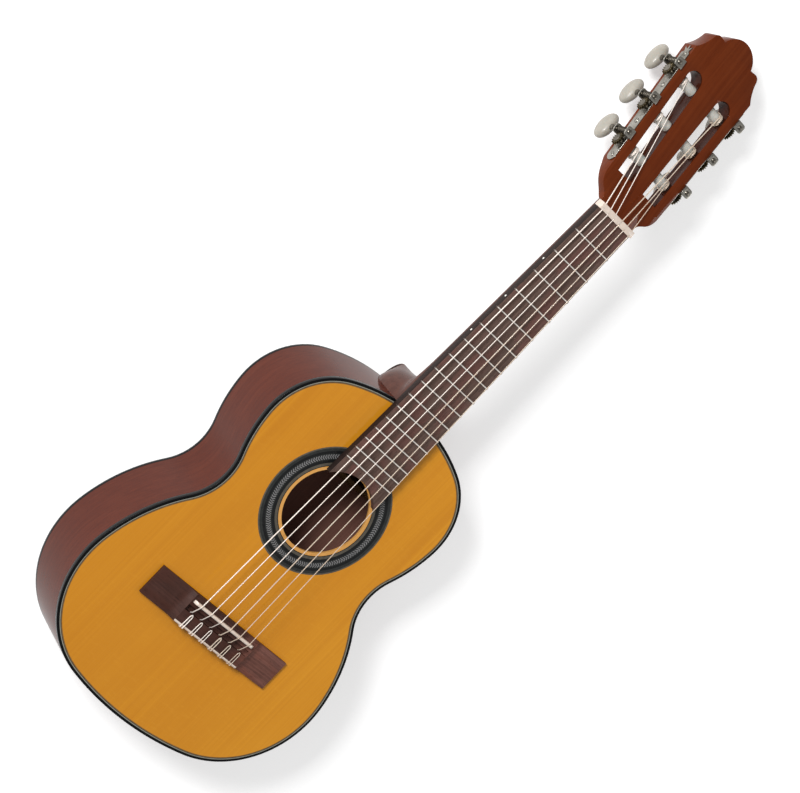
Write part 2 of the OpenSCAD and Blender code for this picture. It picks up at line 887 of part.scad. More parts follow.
// A tooth is a narrow wedge, so that it clears the worm's flanks as it passes through
function tooth(a) = [
  for (s = [[gear_r - 1.2, -8.6], [gear_r + 0.35, -2.6], [gear_r + 0.8, -1.2],
    [gear_r + 0.8, 1.2], [gear_r + 0.35, 2.6], [gear_r - 1.2, 8.6]])
    s.x * [cos(a + s.y), sin(a + s.y)]
];

module gear(i) {
  color(brass)
    at_cheek(string_side(i))
      translate([worm_x - gear_t / 2, post_y(i), post_z])
        rotate([90, 0, 90])
          difference() {
            linear_extrude(gear_t)
              polygon([for (k = [0 : gear_teeth - 1]) each tooth(360 * k / gear_teeth)]);
            translate([0, 0, -1])
              cylinder(h = gear_t + 2, r = post_r.y);
          }
}

module gear_1() gear(1);
module gear_2() gear(2);
module gear_3() gear(3);
module gear_4() gear(4);
module gear_5() gear(5);
module gear_6() gear(6);

// Worm shaft: peened front end, thread between the ears, long shank and the button's ferrule
module worm_shaft(i) {
  thread_len = 4.5 * worm_pitch;
  color(nickel)
    at_cheek(string_side(i))
      translate([worm_x, post_y(i) + worm_gap, 0]) {
        translate([0, 0, button_z - 4])
          cylinder(h = post_z + 9.8 - button_z + 4, r = shaft_r);
        translate([0, 0, post_z + 9.5])
          intersection() {
            cylinder(h = 1.5, r = 2.2, $fn = 32);
            translate([0, 0, -1.9])
              sphere(r = 2.9);
          }
        translate([0, 0, post_z - thread_len / 2])
          linear_extrude(thread_len, twist = -360 * 4.5, slices = 45, $fn = 16)
            translate([worm.y, 0])
              circle(r = worm.x, $fn = 16);
        translate([0, 0, post_z - 10.9])
          cylinder(h = 1.5, r = 2.4, $fn = 32);
        translate([0, 0, button_z + button.z - 0.2])
          cylinder(h = 2.6, r1 = 2.9, r2 = 1.9, $fn = 32);
      }
}

module worm_1() worm_shaft(1);
module worm_2() worm_shaft(2);
module worm_3() worm_shaft(3);
module worm_4() worm_shaft(4);
module worm_5() worm_shaft(5);
module worm_6() worm_shaft(6);

// Oval button, flat in the plane of its shaft, turned to its own rest angle
module tuner_button(i) {
  color(pearl)
    at_cheek(string_side(i))
      translate([worm_x, post_y(i) + worm_gap, button_z])
        rotate([0, 0, button_turn[i - 1]])
          difference() {
            scale([button.y, button.x, button.z])
              sphere(r = 1, $fn = 26);
            translate([0, 0, -4])
              cylinder(h = 20, r = shaft_r);
            translate([0, 0, button.z - 0.2])
              cylinder(h = 5, r = 4);
          }
}

module button_1() tuner_button(1);
module button_2() tuner_button(2);
module button_3() tuner_button(3);
module button_4() tuner_button(4);
module button_5() tuner_button(5);
module button_6() tuner_button(6);

soundboard();
back();
side_bass();
side_treble();
binding_top();
binding_back();
purfling();
rosette();
neck_block();
tail_block();
linings();
top_braces();
back_braces();
bridge();
saddle();
tie_strip();
neck();
headstock();
heel_cap();
fingerboard();
frets();
nut();
tuner_plates();
tuner_screws();
string_1();
string_2();
string_3();
string_4();
string_5();
string_6();
winding_1();
winding_2();
winding_3();
winding_4();
winding_5();
winding_6();
roller_1();
roller_2();
roller_3();
roller_4();
roller_5();
roller_6();
gear_1();
gear_2();
gear_3();
gear_4();
gear_5();
gear_6();
worm_1();
worm_2();
worm_3();
worm_4();
worm_5();
worm_6();
button_1();
button_2();
button_3();
button_4();
button_5();
button_6();
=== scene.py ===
"""Looks of the classical guitar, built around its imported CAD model.

The guitar lies on its back: Z rises out of the soundboard, Y runs from the tail to the head and X
points to the treble side. Lengths in the code are millimetres unless a name says otherwise, and
become metres when a mesh is made. Pieces are placed in the same local frames as the CAD source.
"""

import math

import bpy
from mathutils import Matrix, Vector


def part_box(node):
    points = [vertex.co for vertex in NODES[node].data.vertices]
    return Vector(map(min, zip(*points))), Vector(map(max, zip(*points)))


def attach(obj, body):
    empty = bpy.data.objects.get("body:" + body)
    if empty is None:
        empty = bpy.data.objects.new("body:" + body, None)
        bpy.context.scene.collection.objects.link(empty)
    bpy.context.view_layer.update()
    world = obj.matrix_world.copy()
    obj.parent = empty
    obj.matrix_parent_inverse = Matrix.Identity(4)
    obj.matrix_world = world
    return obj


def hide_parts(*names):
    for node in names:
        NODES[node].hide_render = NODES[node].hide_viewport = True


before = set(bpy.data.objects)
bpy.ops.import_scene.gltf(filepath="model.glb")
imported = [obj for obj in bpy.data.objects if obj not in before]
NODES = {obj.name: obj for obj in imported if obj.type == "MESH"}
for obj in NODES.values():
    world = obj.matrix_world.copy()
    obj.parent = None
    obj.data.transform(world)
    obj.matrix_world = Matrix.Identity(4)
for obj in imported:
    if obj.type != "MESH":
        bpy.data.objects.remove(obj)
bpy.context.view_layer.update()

MM = 0.001

# ---- The CAD source's measures, in millimetres and degrees

SCALE_LEN = 480.0
SADDLE_SPREAD, NUT_SPREAD = 61.0, 37.3
SADDLE_STRING_Z, NUT_STRING_Z = 13.7, 10.4
STRING_R = {1: 0.36, 2: 0.41, 3: 0.51, 4: 0.38, 5: 0.44, 6: 0.55}
BODY_ARCS = [(316, 12.6), (94, 87), (157, 30), (-51, -63.6), (133, 20), (66, 70.2)]
TAIL_DIST = 122.5
INLAY_T, INLAY_TOP = 1.2, 0.02
HOLE_Y = 130.4
BARE_RIM_R = (0.0429, 0.0432)    # metres: where the bare wood round the soundhole ends
MOSAIC_R = (49.0, 54.7)
BRIDGE_REAR, TIE_FRONT, TIE_HOLE_Z, TIE_TOP = 24.5, 10.6, 5.6, 9.6
STRIP_PROUD = 0.4                       # of the pale strip over the tie block
LOOP_W, STRING_CLEAR, BEND_REACH = 2.3, 0.08, 0.9
BOARD_HALF_NUT, BOARD_HALF_12 = 21.6, 27.6
SIDE_DOTS = {"5": 416.3, "7": 371.1, "9": 330.2}    # fret number: distance from the saddle
NUT_BACK = 486.0
HEAD_TILT, HEAD_Z, HEAD_HALF, FLARE = 12.5, 3.5, 38.2, 2.0
CHEEK_W, SLOT_W = 9.6, 18.5
SLOT_MID, SLOT_REACH = 84.1, 56.8       # along the head
SLOT_Z, SLOT_Z_REACH = -8.5, 7.8        # into the head
SLOT_MARGIN = 0.6
POST_MID, POST_PITCH, POST_Z = 87.5, 37.5, -7.0
ROLLER_R, POST_R = 5.0, 2.5
WORM_X, WORM_GAP, GEAR_T = 5.2, 8.4, 2.4
BUTTON_HALF = (6.1, 13.4, 8.8)          # thickness, length, height
BUTTON_POWERS = (0.9, 1.0, 0.92)
BUTTON_Z = -33.5
BUTTON_TURN = {1: 12, 2: -25, 3: 8, 4: 6, 5: 8, 6: 8}
TURNS, FIT = 4, 0.06
WRAP_TURNS, WRAP_STEPS = 0.8, 32        # the last turn, which stays with the string
COIL_TURNS, COIL_FIT = TURNS - 1.1, 0.02
COIL_STEPS = 28 * TURNS
TURN_GAP = 0.04                         # between neighbouring turns

# ---- Frames

_low, _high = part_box("saddle")
SADDLE_Y = (_low.y + _high.y) / 2
TOP_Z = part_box("soundboard")[1].z

SADDLE = Matrix.Translation((0, SADDLE_Y, TOP_Z)) @ Matrix.Scale(MM, 4)
HEAD = (SADDLE @ Matrix.Translation((0, NUT_BACK, HEAD_Z))
        @ Matrix.Rotation(math.radians(-HEAD_TILT), 4, "X"))


def cheek(side):
    """Frame on a side of the head: X outward, Y along it, Z out of the face. Side 1 is the bass."""
    mirror = Matrix.Diagonal((-1 if side else 1, 1, 1, 1))
    return (HEAD @ mirror @ Matrix.Translation((HEAD_HALF, POST_MID, 0))
            @ Matrix.Rotation(math.radians(-FLARE), 4, "Z"))


def string_side(i):
    """1 for the bass strings, 4 to 6, and 0 for the treble ones."""
    return 1 if i > 3 else 0


def post_y(i):
    """Place of a post along the head's side, from the middle post."""
    return (5 - i if i > 3 else i - 2) * POST_PITCH


def tuner_frame(i):
    """Frame on the post axis where it leaves the head's side."""
    return cheek(string_side(i)) @ Matrix.Translation((0, post_y(i), POST_Z))


# ---- Meshes

SMOOTH_ANGLE = 35        # degrees: sharper edges stay sharp


def add_piece(name, verts, faces, materials, matrix=SADDLE, body="guitar",
              face_material=None, smooth_angle=SMOOTH_ANGLE, replaces=()):
    """Makes a mesh piece from points in a local frame and puts it on its CAD body."""
    if matrix.determinant() < 0:
        faces = [tuple(reversed(f)) for f in faces]
    mesh = bpy.data.meshes.new(name)
    mesh.from_pydata([matrix @ Vector(v) for v in verts], [], faces)
    for material in materials:
        mesh.materials.append(material)
    if face_material:
        mesh.polygons.foreach_set("material_index", face_material)
    mesh.polygons.foreach_set("use_smooth", [True] * len(mesh.polygons))
    mesh.validate()
    mesh.update()
    mesh.set_sharp_from_angle(angle=math.radians(smooth_angle))
    piece = bpy.data.objects.new(name, mesh)
    bpy.context.scene.collection.objects.link(piece)
    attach(piece, body)
    if replaces:
        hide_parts(*replaces)


def ring_walls(rings, sides):
    """Faces between neighbouring rings of points."""
    faces = []
    for j in range(rings - 1):
        for k in range(sides):
            n = (k + 1) % sides
            faces.append((j * sides + k, j * sides + n, (j + 1) * sides + n, (j + 1) * sides + k))
    return faces


def end_caps(rings, sides):
    """Faces that close the first and the last ring of points."""
    return [tuple(reversed(range(sides))), tuple(range((rings - 1) * sides, rings * sides))]


def lathe(profile, sides):
    """Solid of revolution about X of (place along X, radius) points, closed at both ends."""
    verts = []
    for along, radius in profile:
        for k in range(sides):
            a = 2 * math.pi * k / sides
            verts.append((along, radius * math.cos(a), radius * math.sin(a)))
    return verts, ring_walls(len(profile), sides) + end_caps(len(profile), sides)


def rounded(points, reach, steps=6):
    """A polyline with each inner corner replaced by a short curve that starts reach before it."""
    points = [Vector(p) for p in points]
    path = [points[0]]
    for before, corner, after in zip(points, points[1:], points[2:]):
        r1 = min(reach, (corner - before).length * 0.45)
        r2 = min(reach, (after - corner).length * 0.45)
        a = corner + (before - corner).normalized() * r1
        b = corner + (after - corner).normalized() * r2
        for k in range(steps + 1):
            t = k / steps
            path.append(a * (1 - t) ** 2 + corner * (2 * t * (1 - t)) + b * t ** 2)
    path.append(points[-1])
    return path


def tube(path, radius, sides):
    """Round tube along a path, with closed ends. The frame is carried along without twist."""
    path = [Vector(p) for p in path]
    verts, normal = [], None
    for j, point in enumerate(path):
        ahead = path[min(j + 1, len(path) - 1)] - path[max(j - 1, 0)]
        ahead.normalize()
        if normal is None:
            normal = ahead.orthogonal().normalized()
        normal = (normal - ahead * normal.dot(ahead)).normalized()
        other = ahead.cross(normal)
        for k in range(sides):
            a = 2 * math.pi * k / sides
            verts.append(point + radius * (math.cos(a) * normal + math.sin(a) * other))
    return verts, ring_walls(len(path), sides) + end_caps(len(path), sides)


def ovoid(half, powers, rings=28, sides=48):
    """A closed oval with its poles on Z. Powers below 1 make it squarer than an ellipsoid."""
    def curved(v, power):
        return math.copysign(abs(v) ** power, v)

    verts = []
    for j in range(1, rings):
        lat = math.pi * (j / rings - 0.5)
        c, z = curved(math.cos(lat), powers[2]), curved(math.sin(lat), powers[2])
        for k in range(sides):
            a = 2 * math.pi * k / sides
            verts.append((half[0] * c * curved(math.cos(a), powers[0]),
                          half[1] * c * curved(math.sin(a), powers[1]), half[2] * z))
    low_pole, high_pole = len(verts), len(verts) + 1
    verts += [(0, 0, -half[2]), (0, 0, half[2])]
    faces = ring_walls(rings - 1, sides)
    for k in range(sides):
        n = (k + 1) % sides
        faces.append((low_pole, n, k))
        faces.append((high_pole, (rings - 2) * sides + k, (rings - 2) * sides + n))
    return verts, faces


def finish_cad(name, material, bevel):
    """Gives a CAD node its material, smooth shading and softly rounded edges, as modifiers."""
    node = NODES[name]
    node.data.materials.clear()
    node.data.materials.append(material)
    node.data.polygons.foreach_set("use_smooth", [True] * len(node.data.polygons))
    if "custom_normal" in node.data.attributes:
        node.data.attributes.remove(node.data.attributes["custom_normal"])
    weld = node.modifiers.new("Weld", "WELD")
    weld.merge_threshold = 2e-6
    if bevel:
        rounding = node.modifiers.new("Bevel", "BEVEL")
        rounding.width = bevel * MM
        rounding.segments = 2
        rounding.limit_method = "ANGLE"
        rounding.angle_limit = math.radians(SMOOTH_ANGLE)
        rounding.harden_normals = False
        rounding.use_clamp_overlap = True
    split = node.modifiers.new("Split", "EDGE_SPLIT")
    split.split_angle = math.radians(50 if bevel else SMOOTH_ANGLE)
    split.use_edge_sharp = False


# ---- Materials

class Shader:
    """A material with short calls for adding nodes. Coordinates are the object's own, in metres."""

    def __init__(self, name, **constants):
        self.material = bpy.data.materials.new(name)
        self.material.use_nodes = True
        self.nodes = self.material.node_tree.nodes
        self.links = self.material.node_tree.links
        self.bsdf = self.nodes["Principled BSDF"]
        self.coords = self.nodes.new("ShaderNodeTexCoord").outputs["Object"]
        for key, value in constants.items():
            self.bsdf.inputs[key.replace("_", " ")].default_value = value

    def put(self, socket, value):
        if isinstance(value, bpy.types.NodeSocket):
            self.links.new(value, socket)
        else:
            socket.default_value = value

    def place(self, scale, rotation=(0, 0, 0), location=(0, 0, 0), vector=None):
        made = self.nodes.new("ShaderNodeMapping")
        self.put(made.inputs["Vector"], vector or self.coords)
        made.inputs["Scale"].default_value = scale
        made.inputs["Rotation"].default_value = rotation
        made.inputs["Location"].default_value = location
        return made.outputs["Vector"]

    def noise(self, vector, detail=3.0, roughness=0.5):
        made = self.nodes.new("ShaderNodeTexNoise")
        self.put(made.inputs["Vector"], vector)
        for key, value in (("Scale", 1.0), ("Detail", detail), ("Roughness", roughness)):
            self.put(made.inputs[key], value)
        return made.outputs["Fac"]

    def ramp(self, value, stops, smooth=False):
        """Grey levels or colours against a value, as (position, level or colour) stops."""
        made = self.nodes.new("ShaderNodeValToRGB")
        self.put(made.inputs["Fac"], value)
        if smooth:
            made.color_ramp.interpolation = "EASE"
        while len(made.color_ramp.elements) < len(stops):
            made.color_ramp.elements.new(0.5)
        for element, (position, colour) in zip(made.color_ramp.elements, stops):
            element.position = position
            if not isinstance(colour, tuple):
                colour = (colour, colour, colour)
            element.color = (*colour, 1)
        return made.outputs["Color"]

    def mix(self, amount, a, b):
        made = self.nodes.new("ShaderNodeMix")
        made.data_type = "RGBA"
        self.put(made.inputs["Factor"], amount)
        for socket, value in ((made.inputs[6], a), (made.inputs[7], b)):
            self.put(socket, (*value, 1) if isinstance(value, tuple) else value)
        return made.outputs[2]

    def math(self, operation, a, b=0.0, c=0.0, clamp=False):
        made = self.nodes.new("ShaderNodeMath")
        made.operation = operation
        made.use_clamp = clamp
        for socket, value in zip(made.inputs, (a, b, c)):
            self.put(socket, value)
        return made.outputs["Value"]

    def separate(self, vector=None):
        made = self.nodes.new("ShaderNodeSeparateXYZ")
        self.put(made.inputs["Vector"], vector or self.coords)
        return made.outputs["X"], made.outputs["Y"], made.outputs["Z"]

    def in_frame(self, matrix):
        """The three coordinates in the millimetres of a local frame."""
        rows = matrix.inverted()
        made = []
        for row in rows[:3]:
            dot = self.nodes.new("ShaderNodeVectorMath")
            dot.operation = "DOT_PRODUCT"
            self.put(dot.inputs[0], self.coords)
            dot.inputs[1].default_value = row[:3]
            made.append(self.math("ADD", dot.outputs["Value"], row[3]))
        return made

    def combine(self, x, y, z):
        made = self.nodes.new("ShaderNodeCombineXYZ")
        for socket, value in zip(made.inputs, (x, y, z)):
            self.put(socket, value)
        return made.outputs["Vector"]

    def bump(self, height, strength, distance, below=None):
        """Bump of a height in millimetres times distance."""
        made = self.nodes.new("ShaderNodeBump")
        self.put(made.inputs["Height"], height)
        made.inputs["Strength"].default_value = strength
        made.inputs["Distance"].default_value = distance * MM
        if below is not None:
            self.links.new(below, made.inputs["Normal"])
        return made.outputs["Normal"]

    def colour(self, value):
        self.put(self.bsdf.inputs["Base Color"], (*value, 1) if isinstance(value, tuple) else value)

    def roughness(self, value):
        self.put(self.bsdf.inputs["Roughness"], value)

    def normal(self, value):
        self.put(self.bsdf.inputs["Normal"], value)

    def coat_normal(self, value):
        self.put(self.bsdf.inputs["Coat Normal"], value)


def spruce():
    """Book-matched spruce under amber lacquer, with a paler bare ring at the soundhole's edge."""
    s = Shader("Spruce", Specular_IOR_Level=0.0, Coat_Weight=1.0, Coat_Roughness=0.07,
               Coat_IOR=1.42)
    x, y, z = s.separate()
    folded = s.combine(s.math("ABSOLUTE", x), y, z)
    waves = s.noise(s.place((14, 2.2, 5), vector=folded), detail=2)
    drift = s.math("MULTIPLY", s.math("SUBTRACT", waves, 0.5), 0.012)
    bent = s.combine(s.math("ADD", s.math("ABSOLUTE", x), drift), y, z)
    lines = s.noise(s.place((780, 3.0, 60), vector=bent), detail=2.5, roughness=0.55)
    bands = s.noise(s.place((105, 1.6, 9), vector=bent, location=(3, 0, 0)), detail=2)
    silk = s.noise(s.place((120, 420, 60), vector=bent), detail=2, roughness=0.6)
    broad = s.noise(s.place((9, 5, 5), location=(1.7, 0.4, 0)), detail=3, roughness=0.55)
    base = s.ramp(lines, [(0.30, (0.510, 0.192, 0.0070)), (0.52, (0.560, 0.222, 0.0090)),
                          (0.75, (0.585, 0.240, 0.0125))])
    base = s.mix(s.ramp(bands, [(0.35, 0.0), (0.68, 0.30)]), base, (0.500, 0.186, 0.0060))
    streaks = s.noise(s.place((34, 1.1, 6), vector=bent, location=(8, 2, 0)), detail=2)
    base = s.mix(s.ramp(streaks, [(0.50, 0.0), (0.66, 0.42)], smooth=True), base,
                 (0.440, 0.150, 0.0050))
    base = s.mix(s.ramp(silk, [(0.55, 0.0), (0.75, 0.16)]), base, (0.680, 0.320, 0.0300))
    base = s.mix(s.ramp(broad, [(0.35, 0.0), (0.70, 0.35)]), base, (0.640, 0.280, 0.0180))
    # Painted shade: darker towards the bass side, where less light falls
    base = s.mix(s.ramp(s.math("MULTIPLY_ADD", x, 4.0, 0.5), [(0.0, 0.30), (0.7, 0.0)]), base,
                 (0.400, 0.140, 0.0050))
    # A few small dark specks
    specks = s.nodes.new("ShaderNodeTexVoronoi")
    s.put(specks.inputs["Vector"], s.place((26, 17, 20), vector=bent))
    specks.inputs["Scale"].default_value = 1.0
    dots = s.ramp(specks.outputs["Distance"], [(0.015, 0.55), (0.035, 0.0)])
    base = s.mix(dots, base, (0.200, 0.070, 0.0150))
    # Bare edge round the soundhole
    hole = SADDLE @ Vector((0, HOLE_Y, 0))
    away = s.nodes.new("ShaderNodeVectorMath")
    away.operation = "DISTANCE"
    s.put(away.inputs[0], s.combine(x, y, 0.0))
    away.inputs[1].default_value = (hole.x, hole.y, 0)
    rim = s.ramp(away.outputs["Value"], [(BARE_RIM_R[0], 1.0), (BARE_RIM_R[1], 0.0)])
    base = s.mix(rim, base, s.mix(lines, (0.54, 0.260, 0.060), (0.66, 0.350, 0.110)))
    s.colour(base)
    s.roughness(s.ramp(broad, [(0.2, 0.36), (0.8, 0.46)]))
    ripple = s.noise(s.place((60, 40, 20)), detail=2)
    fine = s.bump(lines, strength=0.10, distance=0.06)
    s.normal(s.bump(ripple, strength=0.05, distance=0.15, below=fine))
    s.coat_normal(s.bump(ripple, strength=0.04, distance=0.15))
    return s.material


def wood(name, across, along, dark, mid, light, pore=(0.02, 0.006, 0.004), line_mm=1.6,
         pore_share=0.55, tilt=0.0, coat=0.6, coat_roughness=0.07, rough=(0.35, 0.5), figure=1.0,
         folded=False, gloss=0.0, inside=None, shade=None, slots=False, dark_edge=False,
         tint=None):
    """Hardwood with drifting grain lines and short dark pores.

    across, along: axis letters. The grain runs along one, and its lines are stacked along the other
    line_mm: width of a grain line; tilt: the grain's slope in degrees
    figure: strength of the flame; folded: mirrors the grain, as in book-matched plates
    gloss: the bare wood's own specular level, under the coat
    inside: a bare colour, and the height in millimetres above which it shows
    shade: painted shade, as an X in metres and how much darker it paints the wood on the bass side
    of it
    slots: paints shade on the walls of the head's slots; dark_edge: darkens the faces that look
    sideways
    tint: a second colour in slow patches
    """
    s = Shader(name, Specular_IOR_Level=gloss, Coat_Weight=coat, Coat_Roughness=coat_roughness,
               Coat_IOR=1.32)
    vector = s.coords
    if tilt:
        vector = s.place((1, 1, 1), rotation=(math.radians(tilt), 0, 0))
    if folded:
        fx, fy, fz = s.separate(vector)
        vector = s.combine(s.math("ABSOLUTE", fx), fy, fz)

    def scales(fine, slow, depth):
        return tuple(fine if a == across else slow if a == along else depth for a in "XYZ")

    drift = s.noise(s.place(scales(24, 5, 9), vector=vector), detail=2)
    nudge = s.math("MULTIPLY", s.math("SUBTRACT", drift, 0.5), 0.010)
    parts = list(s.separate(vector))
    parts["XYZ".index(across)] = s.math("ADD", parts["XYZ".index(across)], nudge)
    bent = s.combine(*parts)
    lines = s.noise(s.place(scales(1000 / line_mm, 7, 160), vector=bent), detail=3, roughness=0.6)
    bands = s.noise(s.place(scales(90, 4, 30), vector=bent, location=(5, 2, 1)), detail=3)
    flame = s.noise(s.place(scales(30, 55, 30), vector=bent), detail=2, roughness=0.45)
    pores = s.noise(s.place(scales(2600, 190, 900), vector=bent), detail=1.5)
    base = s.ramp(lines, [(0.28, dark), (0.52, mid), (0.78, light)])
    base = s.mix(s.ramp(bands, [(0.36, 0.0), (0.66, 0.5)]), base, dark)
    base = s.mix(s.ramp(flame, [(0.45, 0.0), (0.75, 0.30 * figure)]), base, light)
    if tint:
        patches = s.noise(s.place(scales(75, 34, 20), vector=bent, location=(2, 7, 3)), detail=2)
        base = s.mix(s.ramp(patches, [(0.46, 0.0), (0.62, 0.65)]), base, tint)
    mask = s.ramp(pores, [(0.60, 0.0), (0.68, pore_share)])
    base = s.mix(mask, base, pore)
    if inside:
        bare, height = inside
        raw = s.mix(s.ramp(lines, [(0.3, 0.0), (0.7, 1.0)]), tuple(0.8 * c for c in bare), bare)
        above = s.math("GREATER_THAN", s.separate()[2], height * MM)
        base = s.mix(above, base, raw)
    # Painted shade on the walls inside the head's slots
    if slots:
        hx, hy, hz = s.in_frame(HEAD)
        lean = math.tan(math.radians(FLARE))
        across_slot = s.math("MULTIPLY_ADD", hy, -lean, s.math("ABSOLUTE", hx))
        middle = HEAD_HALF - CHEEK_W - SLOT_W / 2 - POST_MID * lean
        within = 1.0
        for value, centre, reach in ((across_slot, middle, SLOT_W / 2 + SLOT_MARGIN),
                                     (hz, SLOT_Z, SLOT_Z_REACH), (hy, SLOT_MID, SLOT_REACH)):
            near = s.math("COMPARE", value, centre, reach)
            within = s.math("MULTIPLY", within, near)
        base = s.mix(s.math("MULTIPLY", within, 0.8), base, pore)
    # Darker on the faces that look sideways
    if dark_edge:
        facing = s.nodes.new("ShaderNodeNewGeometry").outputs["True Normal"]
        sideways = s.math("GREATER_THAN", s.math("ABSOLUTE", s.separate(facing)[0]), 0.7)
        base = s.mix(s.math("MULTIPLY", sideways, 0.93), base, pore)
    # Painted shade: the wood is painted darker on the bass side of an X
    if shade:
        edge, depth = shade
        per_metre = 45.0
        span = s.math("MULTIPLY_ADD", s.separate(bent)[0], per_metre, 0.5 - per_metre * edge)
        base = s.mix(s.ramp(span, [(0.0, depth), (1.0, 0.0)]), base, pore)
    s.colour(base)
    s.roughness(s.ramp(lines, [(0.2, rough[1]), (0.8, rough[0])]))
    fine = s.bump(mask, strength=0.25, distance=-0.05)
    s.normal(s.bump(lines, strength=0.12, distance=0.05, below=fine))
    ripple = s.noise(s.place((45, 35, 45)), detail=2)
    s.coat_normal(s.bump(ripple, strength=0.06, distance=0.2))
    return s.material


def plastic(name, low, high, rough=(0.25, 0.4), scale=30, coat=0.3, subsurface=0.0,
            **constants):
    """Moulded or polished material: two near shades in soft clouds, fine scuffs in the gloss."""
    s = Shader(name, Coat_Weight=coat, Coat_Roughness=0.08, **constants)
    clouds = s.noise(s.place((scale, scale, scale)), detail=4, roughness=0.6)
    s.colour(s.ramp(clouds, [(0.3, low), (0.7, high)]))
    scuffs = s.noise(s.place((900, 700, 800)), detail=2)
    s.roughness(s.ramp(scuffs, [(0.3, rough[0]), (0.7, rough[1])]))
    s.normal(s.bump(scuffs, strength=0.05, distance=0.05))
    if subsurface:
        s.bsdf.inputs["Subsurface Weight"].default_value = subsurface
        s.bsdf.inputs["Subsurface Radius"].default_value = (0.003, 0.002, 0.0015)
        s.bsdf.inputs["Subsurface Scale"].default_value = 1.0
    return s.material


def metal(name, clean, worn, rough=(0.22, 0.5), wear=0.6, brushed=(1500, 260, 1500), flank_shade=None,
          metallic=1.0):
    """Plated metal with cloudy tarnish, darker spots and fine scratches. Given a flank colour, the
    sides below the tops of pieces take it as painted shade, which leaves a painted highlight along
    the tops."""
    s = Shader(name, Metallic=metallic)
    clouds = s.noise(s.place((70, 70, 70)), detail=5, roughness=0.65)
    spots = s.noise(s.place((420, 420, 420), location=(2, 5, 1)), detail=2)
    base = s.ramp(clouds, [(0.35, clean), (0.70, worn)])
    base = s.mix(s.ramp(spots, [(0.60, 0.0), (0.72, wear)]), base, tuple(0.35 * c for c in worn))
    if flank_shade:
        # Painted shade on the flanks below the tops, which leaves a painted highlight along the
        # tops
        up = s.separate(s.nodes.new("ShaderNodeNewGeometry").outputs["Normal"])[2]
        base = s.mix(s.ramp(up, [(0.80, 1.0), (0.97, 0.0)]), base, flank_shade)
    s.colour(base)
    scratch = s.noise(s.place(brushed), detail=2)
    s.roughness(s.math("ADD", s.ramp(clouds, [(0.3, rough[0]), (0.75, rough[1])]),
                       s.math("MULTIPLY", s.math("SUBTRACT", scratch, 0.5), 0.15), clamp=True))
    s.normal(s.bump(scratch, strength=0.08, distance=0.04))
    return s.material


def nylon():
    """Clear string, a little warm, with faint streaks along it."""
    s = Shader("ClearNylon", IOR=1.5, Transmission_Weight=0.45, Coat_Weight=0.0)
    along = s.noise(s.place((300, 40, 300)), detail=2)
    s.colour(s.ramp(along, [(0.3, (0.76, 0.62, 0.49)), (0.7, (0.88, 0.76, 0.63))]))
    s.roughness(s.ramp(along, [(0.3, 0.16), (0.7, 0.28)]))
    s.normal(s.bump(along, strength=0.05, distance=0.02))
    return s.material


def wound():
    """Silver-plated winding: fine turns across the string."""
    s = Shader("SilverWound", Metallic=0.35, Specular_IOR_Level=0.6)
    turns = s.nodes.new("ShaderNodeTexWave")
    turns.wave_type = "BANDS"
    turns.bands_direction = "Y"
    s.put(turns.inputs["Vector"], s.coords)
    turns.inputs["Scale"].default_value = 1100
    tone = s.noise(s.place((40, 12, 40)), detail=3)
    s.colour(s.ramp(tone, [(0.3, (0.70, 0.61, 0.54)), (0.7, (0.84, 0.76, 0.69))]))
    s.roughness(s.ramp(tone, [(0.3, 0.30), (0.7, 0.42)]))
    s.normal(s.bump(turns.outputs["Fac"], strength=0.5, distance=0.06))
    return s.material


